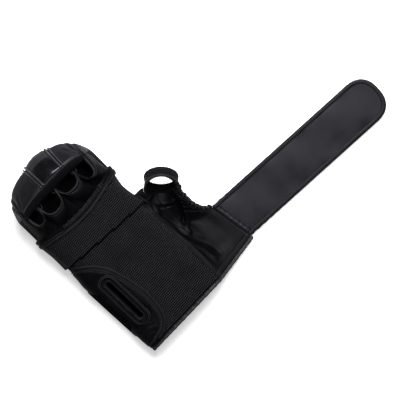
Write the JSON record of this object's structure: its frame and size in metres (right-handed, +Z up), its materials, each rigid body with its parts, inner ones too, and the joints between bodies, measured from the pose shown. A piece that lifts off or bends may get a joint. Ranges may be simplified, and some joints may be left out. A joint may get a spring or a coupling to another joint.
{
  "type": "mma glove",
  "caption": "open-fingered grappling glove with a padded back and curled knuckle guard, finger loops, mesh palm, thumb ring and a hook-and-loop wrist strap",
  "frame": {"origin": "on the surface that the glove lies on, under the middle of the palm, in the plane of the loop patch's outer face", "axes": "+X from the little finger's side to the thumb's side and along the opened strap, +Y from the wrist to the fingertips, +Z up out of the palm; the glove lies on its back"},
  "size_m": [0.4359, 0.2801, 0.0925],
  "materials": {
    "leather": "smooth satin black leather, sewn and turned at the edges",
    "strap_leather": "smooth satin black leather, flat on the strap",
    "mesh_fabric": "matt black spacer mesh with a fine diagonal cell pattern",
    "lining": "matt black ribbed lining fabric",
    "binding": "folded black binding tape with a stitch line",
    "gloss_panel": "glossy black coated panel",
    "loop_pile": "black loop pile of a hook-and-loop closure",
    "hook_tape": "black hook tape of a hook-and-loop closure"
  },
  "bodies": {
    "root": {"back_pad": "leather", "pad_lining": "lining", "knuckle_panel": "gloss_panel", "knuckle_piping_ring": "binding", "knuckle_piping_index": "binding", "loop_patch": "loop_pile", "palm_mesh_wrist": "mesh_fabric", "palm_mesh_fingers": "mesh_fabric", "finger_band": "leather", "side_strip": "leather", "gather_tape": "binding", "wrist_binding": "binding", "reinforcing_panel": "leather", "panel_welt": "leather", "slot_ring": "leather", "finger_loop_little": "leather", "finger_loop_ring": "leather", "finger_loop_middle": "leather", "finger_loop_index": "leather", "thumb_ring": "leather", "thumb_tab": "leather", "thumb_panel": "leather", "thumb_gather": "binding", "cuff_binding": "binding", "strap": "strap_leather", "strap_binding": "binding", "strap_seam": "binding", "hook_tape": "hook_tape"}
  },
  "joints": []
}
